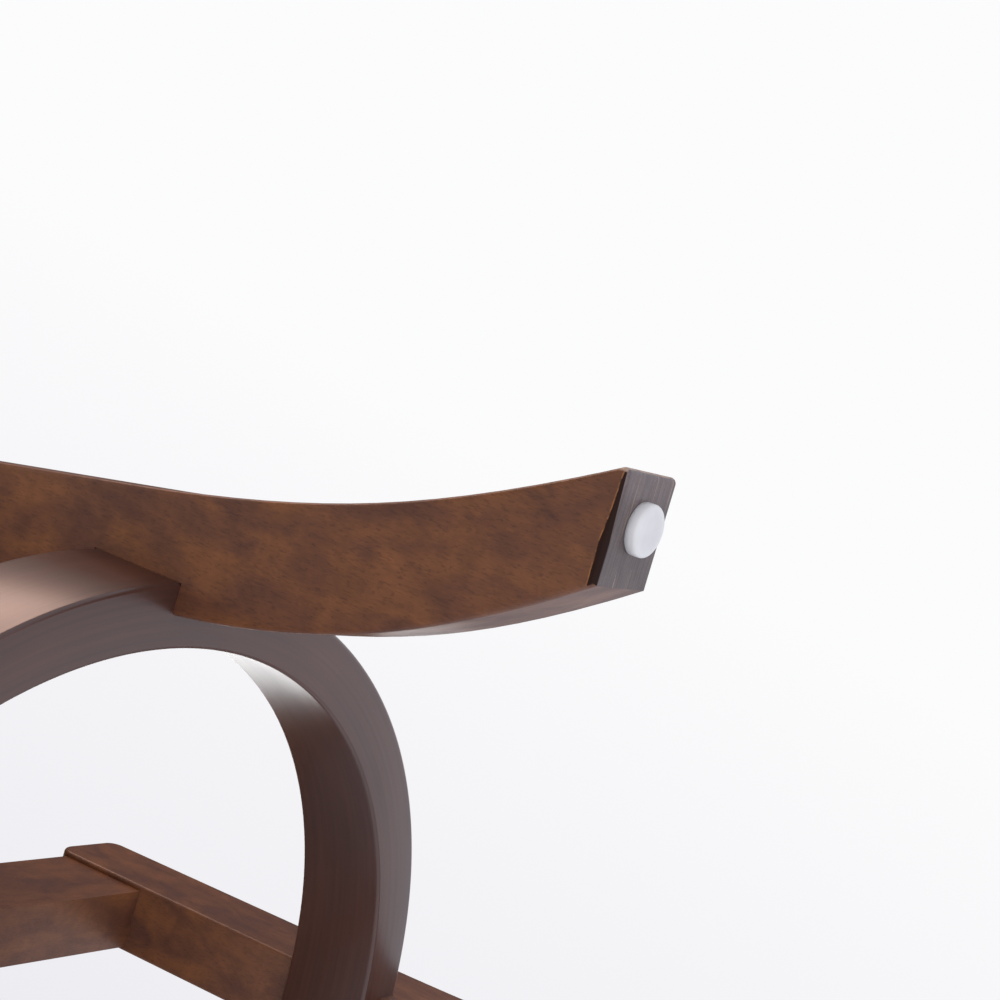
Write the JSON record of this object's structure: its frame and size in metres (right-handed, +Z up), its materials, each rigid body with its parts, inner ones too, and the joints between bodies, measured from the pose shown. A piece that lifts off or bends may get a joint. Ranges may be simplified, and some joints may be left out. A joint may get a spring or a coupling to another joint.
{
  "type": "swivel rocking chair",
  "caption": "Swivel rocking chair on sabre legs with a bentwood ring stretcher, hoop back, bent arms and a round cushion.",
  "frame": {"origin": "on the floor, midway between the front of the seat rim and the back of the hoop's top, on the plane that halves the chair left from right", "axes": "+Z up, the chair faces -Y, +X to the right when looking along +Y"},
  "size_m": [0.4352, 0.5227, 0.9013],
  "materials": {
    "stained_leg_wood": "walnut-stained beech, satin lacquer",
    "stained_bentwood": "walnut-stained bent laminated beech, satin lacquer",
    "seat_plywood": "birch plywood, sealed",
    "cushion_fabric": "woven oatmeal upholstery cloth",
    "glide_nylon": "natural white nylon, moulded",
    "bush_nylon": "natural nylon, moulded",
    "rubber": "black moulded rubber",
    "powder_coated_steel": "black powder coat",
    "zinc_screws": "zinc plated",
    "blackened_bolts": "blackened steel",
    "turned_steel": "turned bright steel",
    "ball_race_steel": "polished bearing balls in a steel cage"
  },
  "bodies": {
    "base": {"leg_front_right": "stained_leg_wood", "glide_front_right": "glide_nylon", "ring_screw_front_right": "zinc_screws", "rail_bolt_front_right": "blackened_bolts", "plate_screw_front_right": "zinc_screws", "leg_rear_right": "stained_leg_wood", "glide_rear_right": "glide_nylon", "ring_screw_rear_right": "zinc_screws", "rail_bolt_rear_right": "blackened_bolts", "plate_screw_rear_right": "zinc_screws", "leg_rear_left": "stained_leg_wood", "glide_rear_left": "glide_nylon", "ring_screw_rear_left": "zinc_screws", "rail_bolt_rear_left": "blackened_bolts", "plate_screw_rear_left": "zinc_screws", "leg_front_left": "stained_leg_wood", "glide_front_left": "glide_nylon", "ring_screw_front_left": "zinc_screws", "rail_bolt_front_left": "blackened_bolts", "plate_screw_front_left": "zinc_screws", "ring_stretcher": "stained_bentwood", "top_rail_lower": "stained_leg_wood", "top_rail_upper": "stained_leg_wood", "swivel_base_plate": "powder_coated_steel", "ball_ring": "ball_race_steel", "swivel_pin": "turned_steel"},
    "swivel": {"rocker_bracket": "powder_coated_steel", "pivot_shaft": "turned_steel", "torsion_rubber": "rubber", "tilt_buffer_front": "rubber", "tilt_buffer_rear": "rubber", "shaft_clip_left": "turned_steel", "shaft_clip_right": "turned_steel"},
    "seat": {"seat_cradle": "powder_coated_steel", "cradle_bolt_front_left": "blackened_bolts", "arm_bolt_front_left": "blackened_bolts", "cradle_bolt_front_right": "blackened_bolts", "arm_bolt_front_right": "blackened_bolts", "cradle_bolt_rear_left": "blackened_bolts", "arm_bolt_rear_left": "blackened_bolts", "cradle_bolt_rear_right": "blackened_bolts", "arm_bolt_rear_right": "blackened_bolts", "pivot_bush_left": "bush_nylon", "seat_bearer_left": "stained_leg_wood", "hoop_bolt_left": "blackened_bolts", "arm_left": "stained_bentwood", "pivot_bush_right": "bush_nylon", "seat_bearer_right": "stained_leg_wood", "hoop_bolt_right": "blackened_bolts", "arm_right": "stained_bentwood", "seat_board": "seat_plywood", "seat_rim": "stained_bentwood", "seat_cushion": "cushion_fabric", "back_hoop": "stained_bentwood", "back_rail": "stained_leg_wood", "back_slat_1": "stained_leg_wood", "back_slat_2": "stained_leg_wood", "back_slat_3": "stained_leg_wood", "back_slat_4": "stained_leg_wood", "back_slat_5": "stained_leg_wood"}
  },
  "joints": [
    {"name": "seat_swivel", "type": "hinge", "parent": "base", "child": "swivel", "pos_m": [0, -0.04892, 0.32], "axis": [0, 0, 1], "continuous": true},
    {"name": "seat_rock", "type": "hinge", "parent": "swivel", "child": "seat", "pos_m": [0, -0.04892, 0.368], "axis": [1, 0, 0], "range_deg": [-15, 8], "stiffness_Nm_per_rad": 320}
  ]
}
